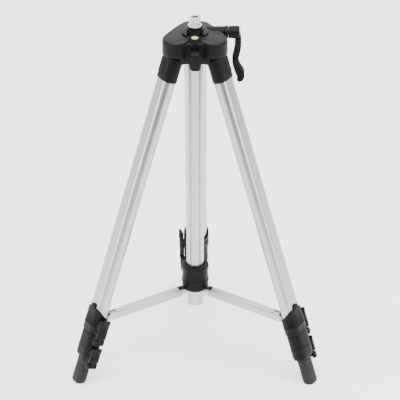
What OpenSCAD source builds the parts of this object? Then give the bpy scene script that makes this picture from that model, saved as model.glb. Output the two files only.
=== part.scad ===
// Crank-column levelling tripod: three folding, three-section oval legs joined by a
// spreader hub, a rack-driven centre column with a 5/8 in stud, and a trefoil crown.
// Millimetres, +Z up, origin on the floor under the column axis, rear leg along +Y.

/* [Column and stud] */
// height of the stud's tip above the floor
stud_top_z = 536.4; // [500:0.1:600]
// length of the threaded stud
stud_len = 12.2; // [8:0.1:20]
// outside radius of the 5/8 in stud
stud_r = 7.9375; // [7.9375:0.0001:7.9375]
// radius of the 3/8 in socket in the stud
socket_r = 4.7625; // [4.7625:0.0001:4.7625]
// depth of that socket
socket_depth = 8; // [5:0.5:10]
// outside radius of the centre column tube
col_r = 10; // [9.5:0.1:10]
// wall of the centre column tube
col_wall = 1.4; // [1:0.1:2]
// height of the lower end of the centre column
col_bottom_z = 262; // [240:1:280]
// radius of the black cap on the column
cap_r = 11; // [10.5:0.1:13]

/* [Guide tube] */
// outside radius of the fixed guide tube
guide_r = 12.5; // [12.2:0.1:12.8]
// wall of the guide tube
guide_wall = 1.5; // [1.2:0.1:1.5]
// height of the guide tube's lower end
guide_bottom_z = 76.2; // [60:0.1:90]

/* [Crown] */
// height of the skirt's lower edge
skirt_z = 477; // [470:1:482]
// height of the crown's shoulder, where the roof starts
roof_z = 509.5; // [506:0.5:511]
// radius on which the three lobes sit
lobe_ring_r = 29.2; // [27:0.1:31]
// radius of each lobe
lobe_r = 20; // [19:0.1:21]
// radius of the crown's core between the lobes
core_r = 24; // [23:0.1:25]
// radius of the raised boss round the column
boss_r = 19; // [18:0.1:20]
// height of the boss's top
boss_z = 514.5; // [513:0.1:514.5]

/* [Legs] */
// radius of the leg pivots from the column axis
pivot_r = 31.5; // [31:0.1:32]
// height of the leg pivots
pivot_z = 492; // [491:0.1:493]
// angle of the open legs from the column
splay = 18.3; // [18:0.1:18.6]
// half distance between the round ends of the leg's oval section
oval_off = 6; // [5.5:0.1:6.5]
// radius of the outer leg tube's round ends
leg_r = 10; // [10:0.1:10.2]
// radius of the middle section's round ends
mid_r = 8.5; // [8.3:0.1:8.5]
// half distance between the round ends of the lower section
low_off = 4.2; // [4:0.1:4.4]
// radius of the lower section's round ends
low_r = 6.6; // [6.4:0.1:6.8]
// wall of the leg tubes
leg_wall = 1.2; // [1:0.1:1.2]
// distance from the pivot to the upper lock collar
collar_s = 398; // [396:1:400]
// length of each lock collar
collar_len = 40; // [38:1:40]

/* [Spreader] */
// radius of the hub pins from the column axis
hub_pin_r = 22; // [21.5:0.1:22.5]
// height of the hub pins
hub_pin_z = 101; // [100:0.1:102]
// outside radius of the hub sleeve
hub_r = 19; // [18:0.1:20]
// height of the hub sleeve's lower edge
hub_z0 = 104; // [103:0.5:105]
// height of the hub sleeve's upper edge
hub_z1 = 141; // [138:1:144]
// distance from the leg pivot to the brace ear's pin, along the leg
ear_s = 414; // [413:0.1:415]
// distance from the leg axis to the brace ear's pin
ear_h = 18.5; // [18:0.1:19]
// width of the brace channel
brace_w = 13; // [12:0.5:14]
// height of the brace channel
brace_h = 10; // [9:0.5:10]

/* [Crank] */
// distance of the crank axis behind the column axis
crank_y = 15.4; // [15.4:0.1:15.4]
// height of the crank axis
crank_z = 505; // [505:0.1:505]
// gear module of rack and pinion
gear_m = 1; // [1:0.1:1]
// number of pinion teeth
gear_n = 12; // [12:1:12]

/* [Output] */
// node to draw, or all of them

/* [Hidden] */
leg_az = [90, 210, 330];
gear_r = gear_m * gear_n / 2;
gear_pitch = PI * gear_m;
rack_y = crank_y - gear_r;
stud_z = stud_top_z - stud_len;
flange_z = stud_z - 2.2;
cap_z = boss_z + 0.3;
guide_top_z = 507;
col_top_z = flange_z - 3;
// ear pin in the (radius, height) plane, and the brace that joins it to the hub pin
ear_r = pivot_r + ear_s * sin(splay) - ear_h * cos(splay);
ear_z = pivot_z - ear_s * cos(splay) - ear_h * sin(splay);
brace_len = sqrt(pow(ear_r - hub_pin_r, 2) + pow(hub_pin_z - ear_z, 2));
brace_ang = atan2(hub_pin_z - ear_z, ear_r - hub_pin_r);
// crank arm's centre line, and its half width
arm_pts = [[60, 498], [60.4, 491], [60, 483], [58.2, 474], [56.6, 466], [57.4, 458],
           [60.6, 450.5], [63.8, 445.2], [65.1, 441], [64.7, 437.2], [63, 434]];
arm_half = 4.5;
// flanks of the crown, just inside the lobes' tangents
flank = lobe_r - 0.2;
grip_piv = [63, 434];
grip_tip = [56.6, 455];

// ---- helpers -------------------------------------------------------------

// oval section: two round ends of radius r, set off each side along Y
module oval(off, r) {
  square([2 * r, 2 * off], center = true);
  for (s = [-1, 1]) translate([0, s * off]) circle(r = r, $fn = 64);
}

// oval prism between two distances below the leg pivot
module oval_bar(off, r, s0, s1) translate([0, 0, -s1]) linear_extrude(s1 - s0) oval(off, r);

// frame of leg i, with the leg running down local -Z and X pointing away from the column
module on_leg(i) rotate([0, 0, leg_az[i - 1]]) translate([pivot_r, 0, pivot_z]) rotate([0, -splay, 0]) children();

// upright frame of leg i
module at_leg(i) rotate([0, 0, leg_az[i - 1]]) children();

// cylinder along Y, centred
module bar_y(r, l, fn = 48) rotate([90, 0, 0]) cylinder(r = r, h = l, center = true, $fn = fn);

// cylinder along X from x0 to x1
module bar_x(r, x0, x1, fn = 48) translate([x0, 0, 0]) rotate([0, 90, 0]) cylinder(r = r, h = x1 - x0, $fn = fn);

// ring between two radii
module ring(ro, ri, z0, z1, fn = 96) translate([0, 0, z0]) difference() {
  cylinder(r = ro, h = z1 - z0, $fn = fn);
  translate([0, 0, -1]) cylinder(r = ri, h = z1 - z0 + 2, $fn = fn);
}

// ---- crown and guide tube --------------------------------------------------

module crown_shell() color("#2b2c2e") difference() {
  union() {
    intersection() {
      union() {
        translate([0, 0, skirt_z]) cylinder(r = core_r, h = 40, $fn = 96);
        for (i = [1:3]) at_leg(i) translate([lobe_ring_r, 0, skirt_z]) cylinder(r = lobe_r, h = 40, $fn = 96);
        // straight flanks from the rear lobe to the two front ones
        translate([0, 0, skirt_z]) linear_extrude(40) for (a = [150, 30]) polygon([
          lobe_ring_r * [cos(90), sin(90)], lobe_ring_r * [cos(90), sin(90)] + flank * [cos(a), sin(a)],
          lobe_ring_r * [cos(2 * a - 90), sin(2 * a - 90)] + flank * [cos(a), sin(a)],
          lobe_ring_r * [cos(2 * a - 90), sin(2 * a - 90)]]);
      }
      // roof: flat under the boss, falling to the rounded shoulder
      rotate_extrude($fn = 120) polygon([[0, 470], [60, 470], [60, roof_z - 5.5], [49.3, roof_z - 5.5],
        [48.6, roof_z - 3.4], [47, roof_z - 1.9], [44, roof_z - 0.9], [38, roof_z], [28, roof_z + 1], [0, roof_z + 1.6]]);
    }
    // seat of the bubble level
    translate([0, -21.5, 500]) cylinder(r = 8.2, h = 11.6, $fn = 64);
    // bearing barrel of the crank
    translate([0, crank_y, crank_z]) bar_x(8, 14, 46.4, 64);
  }
  // column and guide tube
  translate([0, 0, 460]) cylinder(r = guide_r, h = guide_top_z - 460, $fn = 96);
  translate([0, 0, 460]) cylinder(r = col_r + 1.3, h = 70, $fn = 96);
  // pinion room and shaft bore
  translate([0, crank_y, crank_z]) {
    bar_x(7.6, -6, 6, 64);
    bar_x(3.05, -17, 60, 48);
  }
  translate([-6, 5, crank_z - 7.6]) cube([12, crank_y - 5, 30]);
  // lock screw
  translate([0, -20, pivot_z]) bar_y(3.2, 40);
  // leg pockets, open at the bottom and outside
  for (i = [1:3]) at_leg(i) {
    translate([19.4, -19.4, 460]) cube([40, 38.8, 487.2 - 460]);
    translate([22.6, -8.8, 460]) cube([20.1, 17.6, 500.8 - 460]);
    translate([pivot_r, 0, pivot_z]) bar_y(2.5, 34.4);
  }
  // level vial
  translate([0, -21.5, 507.5]) cylinder(r = 6.1, h = 10, $fn = 64);
}

module crown_boss() color("#333437") difference() {
  translate([0, 0, roof_z + 1.6]) cylinder(r = boss_r, h = boss_z - roof_z - 1.6, $fn = 96);
  translate([0, 0, 500]) cylinder(r = col_r + 1.3, h = 30, $fn = 96);
  translate([-11.6, -30, 500]) cube([23.2, 22, 30]);
  translate([0, crank_y, crank_z]) bar_x(8.3, -30, 50, 64);
  translate([-6, 5, crank_z]) cube([12, crank_y - 5, 7]);
}

module guide_tube() color("#c9cbce") difference() {
  ring(guide_r, guide_r - guide_wall, guide_bottom_z, guide_top_z);
  // window for the pinion, and the lock screw's hole
  translate([-6, 5, crank_z - 7.6]) cube([12, 20, 30]);
  translate([0, -12, pivot_z]) bar_y(3.2, 12);
}

// plastic liner that guides the column
module guide_bush() color("#44464a") difference() {
  ring(guide_r - guide_wall, col_r + 0.08, 460, guide_top_z);
  translate([-4.8, 0, 450]) cube([9.6, 30, 80]);
  translate([-6, 5, crank_z - 7.6]) cube([12, 20, 30]);
  translate([0, -12, pivot_z]) bar_y(3.2, 12);
}

module bubble_ring() color("#2b2c2e") translate([0, -21.5, 0]) ring(7.6, 6.1, 511.6, 513.6, 64);
module bubble_vial() color("#d6df5a") translate([0, -21.5, 507.5]) cylinder(r = 6.1, h = 5.9, $fn = 64);

module leg_pin(i) color("#8d9094") at_leg(i) translate([pivot_r, 0, pivot_z]) bar_y(2.5, 34.4);

// ---- centre column ----------------------------------------------------------

module column_tube() color("#c9cbce") difference() {
  ring(col_r, col_r - col_wall, col_bottom_z + 4, col_top_z);
  translate([-4, 5, col_bottom_z - 10]) cube([8, 20, col_top_z - col_bottom_z + 5]);
}

// toothed strip let into the back of the column; a gap faces the pinion at rest
module column_rack() color("#9a9da1") {
  z0 = crank_z - 66 * gear_pitch;
  n = 66;
  translate([-4, 0, 0]) rotate([90, 0, 90]) linear_extrude(8) polygon(concat(
    [[6.6, z0], [rack_y - 1.2, z0]],
    [for (k = [0:n - 1]) let (c = z0 + (k + 0.5) * gear_pitch)
      each [[rack_y - 1.2, c - 1.05], [rack_y + 0.7, c - 0.42], [rack_y + 0.7, c + 0.42], [rack_y - 1.2, c + 1.05]]],
    [[rack_y - 1.2, z0 + n * gear_pitch + 1.2], [6.6, z0 + n * gear_pitch + 1.2]]));
}

module column_cap() color("#26272a") {
  difference() {
    union() {
      translate([0, 0, cap_z]) cylinder(r = cap_r, h = flange_z - cap_z, $fn = 96);
      translate([0, 0, flange_z - 20]) cylinder(r = col_r - col_wall, h = 20, $fn = 96);
    }
    ring(col_r, col_r - col_wall, 500, col_top_z);
    translate([-4, 5, 490]) cube([8, 4, crank_z + 1.2 - 490]);
  }
}
module stud_flange() color("#a9acb0") translate([0, 0, flange_z]) cylinder(r = 9.75, h = stud_z - flange_z, $fn = 96);
module stud() color("#d5d7d9") difference() {
  union() {
    translate([0, 0, stud_z]) cylinder(r = stud_r, h = stud_len, $fn = 96);
  }
  translate([0, 0, stud_top_z - socket_depth]) cylinder(r = socket_r, h = socket_depth + 1, $fn = 64);
}
module column_plug() color("#26272a") {
  translate([0, 0, col_bottom_z]) cylinder(r = col_r - 0.2, h = 4, $fn = 96);
  translate([0, 0, col_bottom_z + 3]) cylinder(r = 6.2, h = 11, $fn = 64);
}

// ---- crank --------------------------------------------------------------

module crank_shaft() color("#8d9094") translate([0, crank_y, crank_z]) {
  bar_x(3, -16, 58, 48);
  // pinion: one tooth points at the rack at rest
  rotate([90, 0, 90]) translate([0, 0, -3.6]) linear_extrude(7.2) union() {
    circle(r = gear_r - 1.2, $fn = 48);
    for (k = [0:gear_n - 1]) rotate(180 + k * 360 / gear_n)
      polygon([[gear_r - 2, -1.0], [gear_r, -0.62], [gear_r + 0.75, -0.36], [gear_r + 0.75, 0.36], [gear_r, 0.62], [gear_r - 2, 1.0]]);
  }
}
module crank_hub() color("#2b2c2e") translate([0, crank_y, crank_z]) difference() {
  union() { bar_x(9, 47, 61.6, 64); bar_x(8.2, 61.5, 62.5, 64); }
  bar_x(3, 40, 58, 48);
  bar_x(1.6, 50, 64, 32);
}

// normal of the arm's centre line at point k
function arm_dir(k) = let (a = arm_pts[max(k - 1, 0)], b = arm_pts[min(k + 1, len(arm_pts) - 1)], d = b - a) d / norm(d);
module crank_arm() color("#2b2c2e") difference() {
  translate([0, crank_y + 7, 0]) rotate([90, 0, 0]) linear_extrude(14) union() {
    polygon(concat(
      [for (k = [0:len(arm_pts) - 1]) let (d = arm_dir(k)) arm_pts[k] + arm_half * [d[1], -d[0]]],
      [for (k = [len(arm_pts) - 1:-1:0]) let (d = arm_dir(k)) arm_pts[k] - arm_half * [d[1], -d[0]]]));
    translate(grip_piv) circle(r = 4.4, $fn = 40);
  }
  // room for the hub, and the fork for the grip
  translate([0, crank_y, crank_z]) bar_x(9, 40, 70, 64);
  translate([40, crank_y - 20, 499]) cube([40, 40, 20]);
  translate([40, crank_y - 4.7, 400]) cube([40, 9.4, 66]);
}
module crank_screw() color("#a9acb0") translate([0, crank_y, crank_z]) union() {
  bar_x(1.6, 58, 62.6, 32);
  bar_x(3.2, 62.5, 64, 48);
}
// folding grip on its pin; the pin turns in the fork
module crank_grip() color("#1d1e20") {
  d = grip_tip - grip_piv;
  a = atan2(d[1], d[0]);
  difference() {
    translate([grip_piv[0], crank_y, grip_piv[1]]) rotate([0, -a, 0]) union() {
      bar_y(4, 8.8);
      translate([0, -4.4, -3.6]) cube([norm(d) - 2, 8.8, 7.2]);
      translate([4, 0, 0]) bar_x(4, 0, norm(d) - 4, 48);
    }
    translate([grip_piv[0], crank_y, grip_piv[1]]) bar_y(1.4, 20, 32);
  }
  translate([grip_piv[0], crank_y, grip_piv[1]]) bar_y(1.4, 9, 32);
}

// ---- column lock ----------------------------------------------------------

module lock_knob() color("#2b2c2e") difference() {
  union() {
    // round boss toward the crown, then the hanging paddle
    translate([0, -30.3, pivot_z]) bar_y(7.4, 12);
    translate([0, -36.2, pivot_z]) rotate([90, 0, 0]) linear_extrude(14) union() {
      circle(r = 8.2, $fn = 64);
      polygon([[-8.2, 0], [8.2, 0], [5.6, -12], [-6.6, -12]]);
      translate([-0.5, -11.2]) circle(r = 6.1, $fn = 64);
    }
  }
  translate([0, -30, pivot_z]) bar_y(3, 24);
}
module lock_screw() color("#a9acb0") translate([0, -26.2, pivot_z]) bar_y(3, 31.6);

// ---- legs -------------------------------------------------------------------

module bracket(i) color("#26272a") on_leg(i) difference() {
  union() {
    oval_bar(6.2, 11.2, 10, 43.5);
    bar_y(8, 17);
    translate([-8, -8.5, -12]) cube([16, 17, 12]);
  }
  bar_y(2.55, 40);
  oval_bar(oval_off, leg_r, 22, 60);
}
module leg_tube(i) color("#c9cbce") on_leg(i) difference() {
  oval_bar(oval_off, leg_r, 22, collar_s + 28);
  oval_bar(oval_off, leg_r - leg_wall, 20, collar_s + 36);
}

// slant of the upper collar's rim
rim_fall = 38.9;
lever_y1 = 22.4;
hinge_s1 = collar_s + 50;
lever_y2 = 21.4;
hinge_s2 = collar_s + 2 * collar_len + 8;

module upper_collar(i) color("#26272a") on_leg(i) {
  difference() {
    union() {
      // rim falls from the outer side to the inner side
      difference() {
        oval_bar(6.2, 12.4, collar_s - 2, collar_s + collar_len - 0.6);
        translate([0, 0, -(collar_s + 11)]) rotate([0, -rim_fall, 0]) translate([-40, -40, 0]) cube([80, 80, 60]);
      }
      // tongue on the outer side
      intersection() {
        oval_bar(6.2, 12.4, collar_s - 3, collar_s + 8);
        translate([9.8, -6, -collar_s - 7]) cube([10, 12, 10]);
      }
      // lever block, hanging past the collar outside the lower one
      translate([-7.6, 14, -(collar_s + 37)]) cube([15.2, 5, 21]);
      for (s = [-1, 1]) translate([s * 5.9 - 1.7, 18.4, -(hinge_s1 + 4)]) {
        cube([3.4, 2.1, 20]);
        cube([3.4, 6.4, 9.5]);
      }
      // ear for the brace, standing above the low side of the rim
      translate([-ear_h, 0, -ear_s]) bar_y(4.4, 4.4);
      rotate([90, 0, 0]) translate([0, 0, -2.2]) linear_extrude(4.4) polygon([
        [-ear_h + 1, -ear_s + 4], [-ear_h - 4, -ear_s - 1], [-11, -ear_s - 16], [-11, -ear_s - 4.5]]);
    }
    oval_bar(oval_off, leg_r, collar_s - 20, collar_s + 28);
    oval_bar(oval_off, mid_r + 0.3, collar_s - 20, collar_s + 80);
    translate([-ear_h, 0, -ear_s]) bar_y(2, 20, 32);
  }
  translate([0, lever_y1, -hinge_s1]) rotate([0, 90, 0]) cylinder(r = 1.5, h = 14, center = true, $fn = 32);
}
module ear_rivet(i) color("#b9bcc0") on_leg(i) translate([-ear_h, 0, -ear_s]) bar_y(2, 9, 32);

// flip lever: barrel on the pin, curved plate up to the free tab
module lever(y, hs, len, gap) {
  difference() {
    union() {
      translate([0, y, -hs]) rotate([0, 90, 0]) cylinder(r = 3, h = 7.8, center = true, $fn = 40);
      translate([-3.9, y - 1.2, -hs]) cube([7.8, 4.2, 9]);
      translate([-7.6, y - gap, -hs + 7]) cube([15.2, 3 + gap, len - 13]);
      translate([-7.6, y + 0.2, -hs + len - 7]) cube([15.2, 4, 7]);
    }
    translate([0, y, -hs]) rotate([0, 90, 0]) cylinder(r = 1.55, h = 30, center = true, $fn = 32);
  }
}
module upper_lever(i) color("#1d1e20") on_leg(i) difference() {
  lever(lever_y1, hinge_s1, 37, 2.9);
  translate([-20, 10, -hinge_s1 + 4]) cube([40, 10.9, 15.5]);
}

module mid_tube(i) color("#d3d5d8") on_leg(i) difference() {
  oval_bar(oval_off, mid_r, 34, collar_s + collar_len + 22);
  oval_bar(oval_off, mid_r - leg_wall, 30, collar_s + collar_len + 30);
}
module lower_collar(i) color("#26272a") on_leg(i) {
  s0 = collar_s + collar_len;
  difference() {
    union() {
      oval_bar(6.1, 11.4, s0, s0 + collar_len);
      translate([-7.6, 13, -(s0 + 39)]) cube([15.2, 4.8, 23]);
      // the hinge ears hang past the collar, clear of the foot
      for (s = [-1, 1]) translate([s * 5.9 - 1.7, 16.4, -(hinge_s2 + 4)]) {
        cube([3.4, 2.9, 18]);
        cube([3.4, 7.2, 9.5]);
      }
      for (s = [-1, 1]) translate([s * 5.9 - 1.7, 14, -(s0 + 40)]) cube([3.4, 4, 10]);
    }
    oval_bar(oval_off, mid_r, s0 - 20, s0 + 22);
    oval_bar(low_off, low_r + 0.3, s0 - 20, s0 + 80);
  }
  translate([0, lever_y2, -hinge_s2]) rotate([0, 90, 0]) cylinder(r = 1.5, h = 14, center = true, $fn = 32);
}
module lower_lever(i) color("#1d1e20") on_leg(i) difference() {
  lever(lever_y2, hinge_s2, 30, 2.9);
  translate([-20, 9, -hinge_s2 + 4]) cube([40, 10.7, 11.5]);
}
module low_tube(i) color("#dcdee0") on_leg(i) difference() {
  oval_bar(low_off, low_r, 46, 506);
  oval_bar(low_off, low_r - leg_wall, 40, 520);
}
module foot(i) color("#1b1b1c") difference() {
  on_leg(i) difference() {
    oval_bar(low_off, 7.9, collar_s + 2 * collar_len + 1, 540);
    oval_bar(low_off, low_r, 400, 506);
  }
  translate([-400, -400, -50]) cube([800, 800, 50]);
}

// ---- spreader -------------------------------------------------------------

module hub_sleeve() color("#26272a") difference() {
  union() {
    difference() {
      union() {
        translate([0, 0, hub_z0]) cylinder(r = hub_r, h = hub_z1 - hub_z0, $fn = 96);
        // beads round the sleeve
        for (z = [hub_z0 + 9, hub_z1 - 5]) translate([0, 0, z]) cylinder(r = hub_r + 0.8, h = 5, $fn = 96);
      }
      for (i = [1:3]) at_leg(i) translate([15.5, -7.4, hub_z0 - 1]) cube([10, 14.8, 7]);
    }
    translate([0, 0, hub_pin_z - 1]) cylinder(r = 15.4, h = 8, $fn = 96);
    for (i = [1:3]) at_leg(i) {
      translate([hub_pin_r, 0, hub_pin_z]) bar_y(4.5, 9.4);
      translate([14, -4.7, hub_pin_z - 1]) cube([hub_pin_r - 14, 9.4, 5.5]);
      translate([14, -4.7, hub_pin_z - 1]) cube([4.9, 9.4, 12]);
    }
  }
  translate([0, 0, 80]) cylinder(r = guide_r + 0.1, h = 80, $fn = 96);
  for (i = [1:3]) at_leg(i) translate([hub_pin_r, 0, hub_pin_z]) bar_y(1.8, 20, 32);
}
module hub_pin(i) color("#b9bcc0") at_leg(i) translate([hub_pin_r, 0, hub_pin_z]) bar_y(1.8, 15.4, 32);

// channel with its web on top; the outer end stops short of the ear's pin
module brace(i) color("#c9cbce") at_leg(i) translate([hub_pin_r, 0, hub_pin_z]) rotate([0, brace_ang, 0]) difference() {
  union() {
    bar_y(brace_h / 2, brace_w);
    translate([0, -brace_w / 2, -brace_h / 2]) cube([brace_len - 8, brace_w, brace_h]);
  }
  // inside of the channel
  translate([-20, -brace_w / 2 + 1.6, -20]) cube([brace_len + 40, brace_w - 3.2, 20 + brace_h / 2 - 1.6]);
  // web cut back at both ends
  translate([-20, -brace_w / 2 + 1.6, 0]) cube([26.5, brace_w - 3.2, 20]);
  translate([brace_len - 31, -brace_w / 2 + 1.6, 0]) cube([60, brace_w - 3.2, 20]);
  // outer end slanted like the leg's face halfway through the fold
  translate([0, brace_w, 0]) rotate([90, 0, 0]) linear_extrude(2 * brace_w)
    polygon([[brace_len - 12, -6], [brace_len - 26, 6], [brace_len + 20, 6], [brace_len + 20, -6]]);
  bar_y(1.85, 40, 32);
}

// ---- drawing -------------------------------------------------------------

crown_shell();
crown_boss();
guide_tube();
guide_bush();
bubble_ring();
bubble_vial();
column_tube();
column_rack();
column_cap();
stud_flange();
stud();
column_plug();
crank_shaft();
crank_hub();
crank_arm();
crank_screw();
crank_grip();
lock_knob();
lock_screw();
hub_sleeve();
for (i = [1:3]) {
  leg_pin(i);
  bracket(i);
  leg_tube(i);
  upper_collar(i);
  ear_rivet(i);
  upper_lever(i);
  mid_tube(i);
  lower_collar(i);
  lower_lever(i);
  low_tube(i);
  foot(i);
  hub_pin(i);
  brace(i);
}
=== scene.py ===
"""Looks of a crank-column tripod for a laser level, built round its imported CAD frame.

Lengths in the helpers are in millimetres and turn into metres as a mesh is made.
A leg's own axes run with the leg: -Z down the leg from its pivot, +X away from the
column, +Y toward the flip locks.
"""

import math

import bmesh
import bpy
from mathutils import Matrix, Vector


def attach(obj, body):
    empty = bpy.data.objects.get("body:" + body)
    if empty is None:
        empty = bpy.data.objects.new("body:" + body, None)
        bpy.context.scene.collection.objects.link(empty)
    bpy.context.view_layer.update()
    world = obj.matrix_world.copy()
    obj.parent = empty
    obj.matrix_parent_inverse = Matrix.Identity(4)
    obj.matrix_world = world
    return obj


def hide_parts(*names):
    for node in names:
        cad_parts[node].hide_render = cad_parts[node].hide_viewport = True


bl_info = {
    "name": "Crank-column tripod",
    "version": (1, 0, 0),
    "blender": (4, 5, 0),
    "location": "View3D > Sidebar > Tripod",
    "description": "Detail pieces, finishes and stage for a laser level tripod",
    "category": "Object",
}

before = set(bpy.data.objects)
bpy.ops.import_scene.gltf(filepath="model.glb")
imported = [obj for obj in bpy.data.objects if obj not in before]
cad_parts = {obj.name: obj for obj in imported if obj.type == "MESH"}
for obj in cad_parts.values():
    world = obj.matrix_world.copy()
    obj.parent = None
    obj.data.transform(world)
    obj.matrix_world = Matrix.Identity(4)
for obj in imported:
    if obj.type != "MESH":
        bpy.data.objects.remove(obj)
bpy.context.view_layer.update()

MM = 0.001
LEGS = (1, 2, 3)
LEG_TURN = {1: 90, 2: 210, 3: 330}
COLLAR_LENGTH = 40
# half the straight part of each leg tube's oval, outer to inner tube
TUBE_OFF, MID_OFF, LOW_OFF = 6.2, 6.1, 4.2

# ---------------------------------------------------------------- properties


def length_mm(name, description, default, low, high):
    """Length property whose value is in millimetres."""
    return bpy.props.FloatProperty(name=name, description=description + ", mm", default=default,
                                   min=low, max=high)


def colour_rgb(name, description, default):
    """Colour property."""
    return bpy.props.FloatVectorProperty(name=name, description=description, subtype="COLOR",
                                         size=3, default=default)


class TripodSizes(bpy.types.PropertyGroup):
    """Sizes that the detail pieces share with the frame."""

    pivot_radius: length_mm("Leg pivot radius", "Leg pivots from the column axis", 31.5, 20, 50)
    pivot_height: length_mm("Leg pivot height", "Leg pivots above the floor", 492.0, 400, 600)
    splay: bpy.props.FloatProperty(
        name="Leg splay", description="Open legs from the column",
        default=math.radians(18.3), subtype="ANGLE")
    collar_start: length_mm(
        "Upper lock collar", "Leg pivot to the upper lock collar", 398.0, 200, 600)
    hub_pin_radius: length_mm("Hub pin radius", "Spreader pins from the column axis", 22.0, 15, 40)
    hub_pin_height: length_mm("Hub pin height", "Spreader pins above the floor", 101.0, 60, 200)
    ear_along: length_mm("Brace ear, along", "Leg pivot to the brace ear's pin", 414.0, 200, 600)
    ear_off: length_mm("Brace ear, off axis", "Leg axis to the brace ear's pin", 18.5, 10, 40)
    crank_back: length_mm("Crank set back", "Crank axis behind the column axis", 15.4, 5, 40)
    crank_height: length_mm("Crank height", "Crank axis above the floor", 505.0, 400, 600)
    stud_flutes: bpy.props.IntProperty(
        name="Stud flutes", description="Grooves down the stud", default=12, min=3, max=36)


class TripodColours(bpy.types.PropertyGroup):
    """Colours of the finishes."""

    moulding: colour_rgb(
        "Moulded plastic", "Crown, brackets, collars and hub", (0.0045, 0.0045, 0.0047))
    lever: colour_rgb("Levers", "Flip levers and crank grip", (0.0048, 0.0048, 0.005))
    tube: colour_rgb("Tubes", "Satin anodised aluminium", (0.46, 0.46, 0.465))
    steel: colour_rgb("Steel", "Pins, screws and rivets", (0.62, 0.63, 0.65))
    nickel: colour_rgb("Nickel", "Plated stud", (0.62, 0.62, 0.60))
    liquid: colour_rgb("Level liquid", "Bubble level's liquid", (0.50, 0.58, 0.22))
    rubber: colour_rgb("Rubber", "Feet", (0.005, 0.005, 0.0053))
    floor: colour_rgb("Floor", "Pale studio floor", (0.90, 0.90, 0.90))


# ---------------------------------------------------------------- materials


def arithmetic(operation, reflected=False):
    """An operator method that adds one Math node."""
    def method(self, other):
        return self.math(operation, *((other, self) if reflected else (self, other)))
    return method


class Px:
    """A socket that takes arithmetic, each step adding a Math node."""

    def __init__(self, look, socket):
        self.look, self.socket = look, socket

    def math(self, operation, *values):
        node = self.look.node("ShaderNodeMath", {"operation": operation}, dict(enumerate(values)))
        return Px(self.look, node.outputs[0])

    __add__, __radd__ = arithmetic("ADD"), arithmetic("ADD", True)
    __sub__, __rsub__ = arithmetic("SUBTRACT"), arithmetic("SUBTRACT", True)
    __mul__, __rmul__ = arithmetic("MULTIPLY"), arithmetic("MULTIPLY", True)

    def held(self, low, high):
        """Clamped between two values."""
        return self.math("MINIMUM", self.math("MAXIMUM", self, low), high)


class Look:
    """One procedural material."""

    def __init__(self, name):
        self.material = bpy.data.materials.new(name)
        self.material.use_nodes = True
        self.tree = self.material.node_tree
        self.tree.nodes.clear()
        self.output = self.node("ShaderNodeOutputMaterial")
        self.bsdf = self.node("ShaderNodeBsdfPrincipled")
        self.tree.links.new(self.bsdf.outputs[0], self.output.inputs[0])
        self.place = self.node("ShaderNodeTexCoord").outputs["Object"]

    def node(self, kind, settings=None, inputs=None):
        made = self.tree.nodes.new(kind)
        for key, value in (settings or {}).items():
            setattr(made, key, value)
        for key, value in (inputs or {}).items():
            self.feed(made.inputs[key], value)
        return made

    def feed(self, socket, value):
        if isinstance(value, Px):
            value = value.socket
        if isinstance(value, bpy.types.NodeSocket):
            self.tree.links.new(value, socket)
        elif socket.type == "RGBA" and len(value) == 3:
            socket.default_value = (*value, 1)
        else:
            socket.default_value = value

    def px(self, socket):
        return Px(self, socket)

    def noise(self, scale, detail=2.0, place=None, roughness=0.5):
        made = self.node("ShaderNodeTexNoise", {}, {
            "Vector": place or self.place, "Scale": scale, "Detail": detail,
            "Roughness": roughness})
        return self.px(made.outputs["Fac"])

    def drawn(self, direction, keep=0.012):
        """Object coordinates pressed flat along a direction, for marks that run with it."""
        along = self.node("ShaderNodeVectorMath", {"operation": "DOT_PRODUCT"},
                          {0: self.place, 1: direction})
        press = Px(self, along.outputs["Value"]) * (1 - keep)
        back = self.node("ShaderNodeVectorMath", {"operation": "SCALE"},
                         {0: direction, "Scale": press})
        return self.node("ShaderNodeVectorMath", {"operation": "SUBTRACT"},
                         {0: self.place, 1: back.outputs[0]}).outputs[0]

    def blend(self, factor, first, second):
        made = self.node("ShaderNodeMix", {"data_type": "RGBA"},
                         {0: factor, 6: first, 7: second})
        return made.outputs[2]

    def set(self, **values):
        for key, value in values.items():
            self.feed(self.bsdf.inputs[key.replace("_", " ")], value)
        return self

    def bump(self, height, distance, strength=1.0):
        made = self.node("ShaderNodeBump", {}, {
            "Strength": strength, "Distance": distance, "Height": height})
        self.feed(self.bsdf.inputs["Normal"], made.outputs[0])
        return self


def tint(colour, factor):
    return tuple(min(1.0, c * factor) for c in colour)


def moulded(name, colour, roughness, grain=1400.0, depth=0.00006):
    """Moulded plastic with a spark-eroded grain, faint flow marks and handling shine."""
    look = Look(name)
    pores = look.noise(grain, 3.0)
    cloud = look.noise(22.0, 3.0)
    scuff = look.noise(160.0, 5.0, roughness=0.65)
    shade = look.blend((cloud - 0.35).held(0.0, 1.0) * 1.3, tint(colour, 0.86), tint(colour, 1.22))
    worn = look.blend((scuff - 0.62).held(0.0, 0.2) * 2.2, shade, tint(colour, 2.1))
    look.set(Base_Color=worn, Metallic=0.0,
             Roughness=(cloud - 0.5) * 0.16 + (pores - 0.5) * 0.10 + roughness)
    look.bump(pores + scuff * 0.35, depth, 0.55)
    look.bsdf.inputs["Specular IOR Level"].default_value = 0.11
    return look.material


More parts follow.
